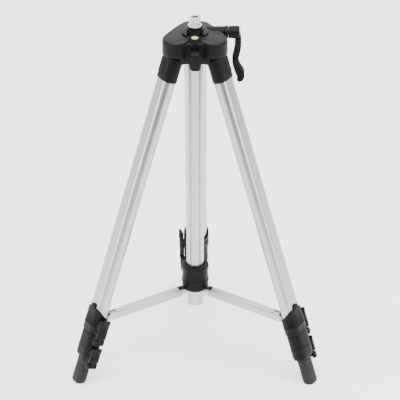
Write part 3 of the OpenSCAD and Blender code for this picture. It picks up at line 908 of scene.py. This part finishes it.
def lever_mesh(bm, y, hinge, length, ridges):
    """Flip lever in a leg's own axes: barrel, neck, plate, thumb tab and finger ridges."""
    part = bmesh.new()
    lathe(part, [(1.56, -3.85, 0), (3.0, -3.85, 0.4), (3.0, 3.85, 0.4), (1.56, 3.85, 0)], 3,
                 closed=True, count=32)
    add_part(bm, part, place=shift(0, y, -hinge) @ turn("Y", 90))
    box_part(bm, (-3.85, y - 1.1, -hinge + 2.0), (3.85, y + 2.8, -hinge + 9), 0.3, 1)
    side = rounded([(y - 1.4, 7.1, 0.4), (y + 3.0, 7.1, 1.0), (y + 3.0, length - 8, 4),
                    (y + 4.2, length - 1.2, 0.6), (y + 3.4, length, 0.6), (y + 0.3, length, 0.8),
                    (y - 2.0, length - 6.6, 2), (y - 2.8, length - 8, 0.8), (y - 2.8, 19.9, 0.6),
                    (y - 1.4, 19.7, 0.4)], 4, closed=True)
    prism(bm, [(p[0], p[1] - hinge) for p in side], -7.6, 7.6, "X", 0.6, 2)
    grown(bm, bars_tree(), {"Count": ridges, "Step": (0.0, 0.0, 2.2 * MM),
                            "Size": (11.0 * MM, 0.7 * MM, 0.9 * MM),
                            "Material": finishes()["lever"]},
          shift(0, y + 3.0, -hinge + 10.5))


class TRIPOD_OT_leg_locks(Builder, bpy.types.Operator):
    """Lock collars, flip levers and their pins on each leg"""

    bl_idname = "tripod.leg_locks"
    bl_label = "Leg locks"

    def build(self, s):
        first = s.collar_start
        second = first + COLLAR_LENGTH
        for leg in LEGS:
            place = leg_axes(leg)
            # upper collar: its rim falls from the outer to the inner side
            bm = bmesh.new()
            low, rim = -second + 0.7, -first - 9.2
            rows = [(8.85, low, 0), (11.8, low, 0), (12.3, low + 0.6, 0), (12.4, low + 1.4, 0),
                    (12.4, low + 9.6, 0), (12.8, low + 10.2, 0), (12.8, low + 12.8, 0),
                    (12.4, low + 13.4, 0), (12.4, rim - 2.4, 1), (12.65, rim - 1.8, 1),
                    (12.55, rim - 0.5, 1), (12.1, rim, 1), (10.5, rim, 1), (10.05, rim - 0.5, 1),
                    (10.05, -first - 27.8, 0), (8.85, -first - 27.8, 0)]
            fall = math.tan(math.radians(31.0))
            loft(bm, [[(x, y, z + share * x * fall) for x, y in oval_loop(TUBE_OFF, r, 72)]
                      for r, z, share in rows], closed=True)
            self.lip(bm, first, 12.4)
            self.cheek(bm, 14.2, 18.9, first + 16.2, first + 38.6)
            self.ears(bm, 18.5, 20.4, 24.7, first + 34.5, first + 54, first + 44.6)
            self.ear(bm, s)
            piece(f"lock_collar_a{leg}", bm, f"leg_{leg}", "moulding",
                  (f"upper_collar_{leg}",), place, sharp=44)
            # lower collar
            third = second + COLLAR_LENGTH
            bm = bmesh.new()
            lathe(bm, [(7.9, -third, 0), (10.4, -third, 0.6), (11.4, -third + 2.4, 1.0),
                       (11.4, -third + 13, 0.3), (11.8, -third + 13.5, 0.3),
                       (11.8, -third + 16.5, 0.3), (11.4, -third + 17, 0.3),
                       (11.4, -second - 2, 0.4), (11.0, -second - 0.1, 0.5),
                       (8.55, -second - 0.1, 0), (8.55, -second - 22, 0), (7.9, -second - 22, 0)],
                       4, MID_OFF, 72, closed=True)
            self.cheek(bm, 13.4, 17.7, second + 16, third - 1)
            self.cheek(bm, 12.6, 18.1, second + 0.8, second + 15)
            self.ears(bm, 16.5, 19.2, 23.5, third - 6, third + 12, third + 2.6)
            piece(f"lock_collar_b{leg}", bm, f"mid_section_{leg}", "moulding",
                  (f"lower_collar_{leg}",), place, sharp=44)
            # levers and the pins through their ears, finished like the levers
            for tag, y, hinge, length, body, held, old in (
                    ("a", 22.4, first + 50, 37, f"lever_a{leg}", f"leg_{leg}", "upper_lever"),
                    ("b", 21.4, second + 48, 30, f"lever_b{leg}", f"mid_section_{leg}",
                     "lower_lever")):
                bm = bmesh.new()
                lever_mesh(bm, y, hinge, length, 6 if tag == "a" else 4)
                piece(f"flip_lever_{tag}{leg}", bm, body, "lever",
                      (f"{old}_{leg}",), place, sharp=44)
                bm = bmesh.new()
                lathe(bm, [(0.1, -7.9, 0), (1.5, -7.9, 0.4), (1.5, 7.9, 0.4), (0.1, 7.9, 0)], 3,
                           count=24)
                piece(f"lever_pin_{tag}{leg}", bm, held, "lever",
                      place=place @ shift(0, y, -hinge) @ turn("Y", 90))

    def lip(self, bm, first, radius):
        """Tongue that rises from the collar's rim on its outer side."""
        outline = rounded([(-6.4, -first - 6, 0), (6.4, -first - 6, 0), (5.6, -first + 1.6, 2.5),
                           (3.4, -first + 3.6, 2), (-3.4, -first + 3.6, 2),
                           (-5.6, -first + 1.6, 2.5)], 5, closed=True)
        prism(bm, outline, radius - 2.2, radius + 0.15, "X", 0.6, 2)

    def cheek(self, bm, y0, y1, s0, s1):
        """Block between the collar and its lever."""
        box_part(bm, (-7.5, y0, -s1), (7.5, y1, -s0), 0.7, 2)

    def ears(self, bm, y0, y1, y2, s0, s1, step):
        """Pair of ears: a thin link under the lever, deeper round the lever's pin."""
        for side in (-1, 1):
            outline = rounded([(y0, -s0, 0.3), (y0, -s1 + 0.5, 1), (y2 - 2.4, -s1, 1.5),
                               (y2, -s1 + 2.4, 2.0), (y2, -step, 1.0), (y1, -step + 0.6, 0.6),
                               (y1, -s0, 0.5)], 4, closed=True)
            prism(bm, outline, side * 5.9 - 1.7, side * 5.9 + 1.7, "X", 0.35, 2)

    def ear(self, bm, s):
        """Tab for the brace, standing above the low side of the rim."""
        reach, along = -s.ear_off, -s.ear_along
        outline = [(-11.0, along - 4.5), (-11.0, along - 16)]
        outline += arc((reach, along), 4.4, 205, 45, 16)
        prism(bm, outline, -2.2, 2.2, "Y", 0.5, 2)


class TRIPOD_OT_feet(Builder, bpy.types.Operator):
    """Rubber feet, cut level with the floor, with grip rings"""

    bl_idname = "tripod.feet"
    bl_label = "Feet"

    def build(self, s):
        start = s.collar_start + 2 * COLLAR_LENGTH + 1
        for leg in LEGS:
            bm = bmesh.new()
            place = leg_axes(leg)
            rows = [(6.75, start + 0.2), (7.5, start + 0.1), (7.9, start + 0.9)]
            for k in range(3):
                top = start + 8 + 4.2 * k
                rows += [(7.9, top), (7.45, top + 0.5), (7.45, top + 1.5), (7.9, top + 2.0)]
            rows += [(7.9, start + 24)]
            loops = [[(x, y, -h) for x, y in oval_loop(LOW_OFF, r, 64)] for r, h in rows]
            flat = place.inverted()
            floor_rows = ((0.0, 3.2), (-0.35, 1.4), (-0.9, 0.5), (-1.9, 0.06), (-5.5, 0.02),
                          (-7.6, 0.02))
            for grow, height in floor_rows:
                loop = []
                for x, y in oval_loop(LOW_OFF, 7.9 + grow, 64):
                    p, q = place @ Vector((x, y, -start)), place @ Vector((x, y, -start - 60))
                    loop.append(flat @ p.lerp(q, (p.z - height) / (p.z - q.z)))
                loops.append(loop)
            loft(bm, loops)
            piece(f"rubber_foot_{leg}", bm, f"lower_section_{leg}", "rubber",
                  (f"foot_{leg}",), place, sharp=50)


class TRIPOD_OT_spreader(Builder, bpy.types.Operator):
    """Sliding hub, channel braces with round ends, and their rivets"""

    bl_idname = "tripod.spreader"
    bl_label = "Spreader"

    def build(self, s):
        bm = bmesh.new()
        low, pin = s.hub_pin_height + 3, s.hub_pin_height
        lathe(bm, [(12.7, low + 7, 0), (19.0, low + 7, 0.2), (19.0, low + 8.4, 0.4),
                   (19.8, low + 9.2, 0.5), (19.8, low + 13.4, 0.5), (19.0, low + 14.2, 0.4),
                   (18.8, 125, 3), (19.0, 135.2, 0.4), (19.8, 136.0, 0.5), (19.8, 139.6, 0.8),
                   (18.8, 140.9, 0.8), (14.2, 140.9, 0.8), (12.7, 139.6, 0)], closed=True,
                   count=96)
        lathe(bm, [(12.7, pin - 1, 0), (15.4, pin - 1, 0.6), (15.4, low + 8, 0),
                   (12.7, low + 8, 0)], 3, closed=True, count=96)
        for leg in LEGS:
            # skirt between the slots that the braces swing in
            around = LEG_TURN[leg] + 60
            slot = math.degrees(math.asin(7.4 / 19.0))
            wall = arc((0, 0), 19.0, around - 60 + slot, around + 60 - slot, 24)
            wall += arc((0, 0), 14.6, around + 60 - slot * 1.32, around - 60 + slot * 1.32, 24)
            prism(bm, wall, low, low + 7.4, "Z", 0.5, 2)
            part = bmesh.new()
            outline = [(14.5, low + 8.5), (14.5, pin - 0.8), (17.4, pin - 0.8)]
            outline += arc((s.hub_pin_radius, pin), 4.5, 205, 395, 14)
            outline += [(22.6, pin + 4.4), (18.9, pin + 4.6), (18.9, low + 8.5)]
            prism(part, outline, -4.7, 4.7, "Y", 0.5, 2)
            add_part(bm, part, place=turn("Z", LEG_TURN[leg]))
        piece("hub_slider", bm, "hub", "moulding", ("hub_sleeve",), sharp=44)

        # brace from the hub's pin to the ear's pin
        ear_r = (s.pivot_radius + s.ear_along * math.sin(s.splay) - s.ear_off * math.cos(s.splay))
        ear_z = (s.pivot_height - s.ear_along * math.cos(s.splay) - s.ear_off * math.sin(s.splay))
        run, drop = ear_r - s.hub_pin_radius, s.hub_pin_height - ear_z
        length, fall = math.hypot(run, drop), math.degrees(math.atan2(drop, run))
        for leg in LEGS:
            place = (turn("Z", LEG_TURN[leg]) @ shift(s.hub_pin_radius, 0, s.hub_pin_height)
                     @ turn("Y", fall))
            bm = bmesh.new()
            web_in, web_out = 5.5, length - 12.0
            for side in (-1, 1):
                cheek = arc((0, 0), 4.9, 270, 90, 14)
                cheek += arc((length, 0), 4.9, 90, -90, 14)
                prism(bm, cheek, side * 5.7 - 0.8, side * 5.7 + 0.8, "Y", 0.45, 2)
            web = [(web_in, -5.9), (web_out - 3, -5.9), (web_out, -2.5), (web_out, 2.5),
                   (web_out - 3, 5.9), (web_in, 5.9)]
            prism(bm, web, 3.3, 4.95, "Z", 0.4, 2)
            # two pressed beads stiffen the web
            for y in (-2.6, 2.6):
                part = bmesh.new()
                oval_body(part, [(0.05, 12), (0.6, 12.6), (0.75, 14), (0.75, length - 25),
                                 (0.6, length - 23.6), (0.05, length - 23)], 0, 14)
                add_part(bm, part, place=shift(0, y, 4.75) @ turn("Y", 90))
            piece(f"brace_channel_{leg}", bm, f"brace_{leg}", f"brace_{leg}",
                  (f"brace_{leg}",), place, sharp=44)
            bm = bmesh.new()
            for x in (0.0, length):
                grown(bm, domes_tree(), {"Radius": 3.3 * MM, "Height": 1.5 * MM,
                                         "Gap": 13.2 * MM, "Material": finishes()["steel"]},
                      shift(x, -6.6, 0) @ turn("X", -90))
            piece(f"brace_rivets_{leg}", bm, f"brace_{leg}", "steel", place=place)


class TRIPOD_OT_stage(Builder, bpy.types.Operator):
    """Pale floor and backdrop, soft studio lights and the camera"""

    bl_idname = "tripod.stage"
    bl_label = "Stage"

    def build(self, s):
        scene = bpy.context.scene
        # floor that curves up into the backdrop
        path = [(-6.0, 0.0), (2.2, 0.0)]
        path += [(2.2 + 1.2 * math.sin(math.radians(a)), 1.2 - 1.2 * math.cos(math.radians(a)))
                 for a in range(6, 91, 6)]
        path += [(3.4, 6.0)]
        self.sheet("studio_floor", "floor", [[(x, y, z) for x in (-6.0, 6.0)] for y, z in path])

        # large soft lights: above, either side, and behind
        for name, place, aim, size, power in (
                ("top", (0.2, -0.5, 2.6), (0, 0, 0.3), (2.4, 2.0), 128),
                ("left", (-2.4, -0.6, 1.1), (0, 0, 0.3), (0.9, 2.2), 40),
                ("right", (2.3, -1.0, 1.2), (0, 0, 0.3), (1.0, 2.2), 38),
                ("back", (0.0, 2.0, 2.2), (0, 0, 0.2), (2.6, 1.2), 26)):
            data = bpy.data.lights.new(name, "AREA")
            data.shape, data.size, data.size_y, data.energy = "RECTANGLE", size[0], size[1], power
            light = bpy.data.objects.new(name, data)
            light.location = place
            toward = Vector(aim) - Vector(place)
            light.rotation_euler = toward.to_track_quat("-Z", "Y").to_euler()
            scene.collection.objects.link(light)
        # dark flag low in front, seen only in reflections, that draws a band down the tubes
        flag = self.sheet("flag", "lever", [[(x, -2.4, z) for x in (-1.3, 1.3)]
                                            for z in (0.03, 1.25)])
        flag.visible_camera = flag.visible_shadow = False
        world = bpy.data.worlds.new("Studio")
        scene.world = world
        world.use_nodes = True
        world.node_tree.nodes["Background"].inputs[0].default_value = (0.93, 0.95, 1.0, 1)
        world.node_tree.nodes["Background"].inputs[1].default_value = 1.12

        data = bpy.data.cameras.new("view")
        data.sensor_width, data.lens = 36.0, 251.6
        data.clip_start, data.clip_end = 0.1, 60
        camera = bpy.data.objects.new("view", data)
        camera.location = (0.0383, -3.537, 2.168)
        aim = Vector((0.0072, -0.0216, 0.2572))
        camera.rotation_euler = (aim - camera.location).to_track_quat("-Z", "Y").to_euler()
        scene.collection.objects.link(camera)
        scene.camera = camera

    def sheet(self, name, material, rows):
        """Stage surface skinned over rows of points, in metres."""
        bm = bmesh.new()
        rows = [[bm.verts.new(p) for p in row] for row in rows]
        for a, b in zip(rows, rows[1:]):
            bm.faces.new((a[0], a[1], b[1], b[0]))
        mesh = bpy.data.meshes.new(name)
        bm.to_mesh(mesh)
        bm.free()
        mesh.shade_smooth()
        mesh.materials.append(finishes()[material])
        obj = bpy.data.objects.new(name, mesh)
        bpy.context.scene.collection.objects.link(obj)
        return obj


class TRIPOD_PT_panel(bpy.types.Panel):
    """Sidebar list of the pieces"""

    bl_label = "Tripod"
    bl_idname = "TRIPOD_PT_panel"
    bl_space_type = "VIEW_3D"
    bl_region_type = "UI"
    bl_category = "Tripod"

    def draw(self, context):
        for operator in OPERATORS:
            self.layout.operator(operator.bl_idname)
        for group in (context.scene.tripod_sizes, context.scene.tripod_colours):
            for key in group.__annotations__:
                self.layout.prop(group, key)


OPERATORS = (TRIPOD_OT_finish_frame, TRIPOD_OT_crown, TRIPOD_OT_level, TRIPOD_OT_column,
             TRIPOD_OT_crank, TRIPOD_OT_knob, TRIPOD_OT_brackets, TRIPOD_OT_leg_locks,
             TRIPOD_OT_feet, TRIPOD_OT_spreader, TRIPOD_OT_stage)
CLASSES = (TripodSizes, TripodColours, *OPERATORS, TRIPOD_PT_panel)


def register():
    for cls in CLASSES:
        bpy.utils.register_class(cls)
    bpy.types.Scene.tripod_sizes = bpy.props.PointerProperty(type=TripodSizes)
    bpy.types.Scene.tripod_colours = bpy.props.PointerProperty(type=TripodColours)


def unregister():
    del bpy.types.Scene.tripod_sizes
    del bpy.types.Scene.tripod_colours
    for cls in reversed(CLASSES):
        bpy.utils.unregister_class(cls)


def main():
    register()
    for operator in OPERATORS:
        group, name = operator.bl_idname.split(".")
        getattr(getattr(bpy.ops, group), name)()
    bpy.context.view_layer.update()


if __name__ == "__main__":
    main()
